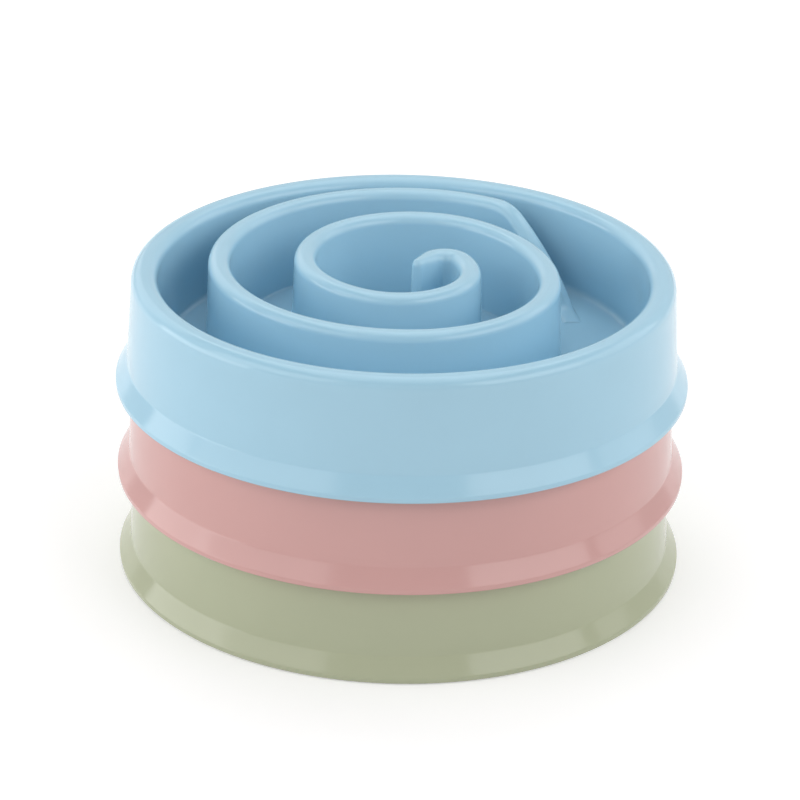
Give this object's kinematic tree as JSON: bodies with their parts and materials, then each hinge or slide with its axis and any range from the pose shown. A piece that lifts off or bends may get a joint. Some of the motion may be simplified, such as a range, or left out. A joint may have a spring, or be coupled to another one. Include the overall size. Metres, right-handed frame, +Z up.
{
  "type": "slow feeder bowl",
  "caption": "Nested stack of round slow feeder bowls, each with a flared foot and a tall spiral ridge that ramps down to the floor to slow a pet's eating.",
  "frame": {"origin": "on the ground under the centre of the stack, at the underside of the bottom bowl's pads", "axes": "+Z up along the stack, -Y towards the viewer of the picture, +X to the viewer's right"},
  "size_m": [0.2, 0.2, 0.1075],
  "materials": {
    "blue_plastic": "semi-gloss moulded pastel blue",
    "pink_plastic": "semi-gloss moulded dusty pink",
    "green_plastic": "semi-gloss moulded sage green",
    "pad_rubber": "matt pale rubber"
  },
  "bodies": {
    "bottom_bowl_body": {"bottom_bowl": "green_plastic", "bottom_bowl_pad_1": "pad_rubber", "bottom_bowl_pad_2": "pad_rubber", "bottom_bowl_pad_3": "pad_rubber", "bottom_bowl_pad_4": "pad_rubber"},
    "middle_bowl_body": {"middle_bowl": "pink_plastic", "middle_bowl_pad_1": "pad_rubber", "middle_bowl_pad_2": "pad_rubber", "middle_bowl_pad_3": "pad_rubber", "middle_bowl_pad_4": "pad_rubber"},
    "top_bowl_body": {"top_bowl": "blue_plastic", "top_bowl_pad_1": "pad_rubber", "top_bowl_pad_2": "pad_rubber", "top_bowl_pad_3": "pad_rubber", "top_bowl_pad_4": "pad_rubber"}
  },
  "joints": [
    {"name": "middle_bowl_lift", "type": "slide", "parent": "bottom_bowl_body", "child": "middle_bowl_body", "axis": [0, 0, 1], "range_m": [0, 0.06]},
    {"name": "top_bowl_lift", "type": "slide", "parent": "middle_bowl_body", "child": "top_bowl_body", "axis": [0, 0, 1], "range_m": [0, 0.06]}
  ]
}
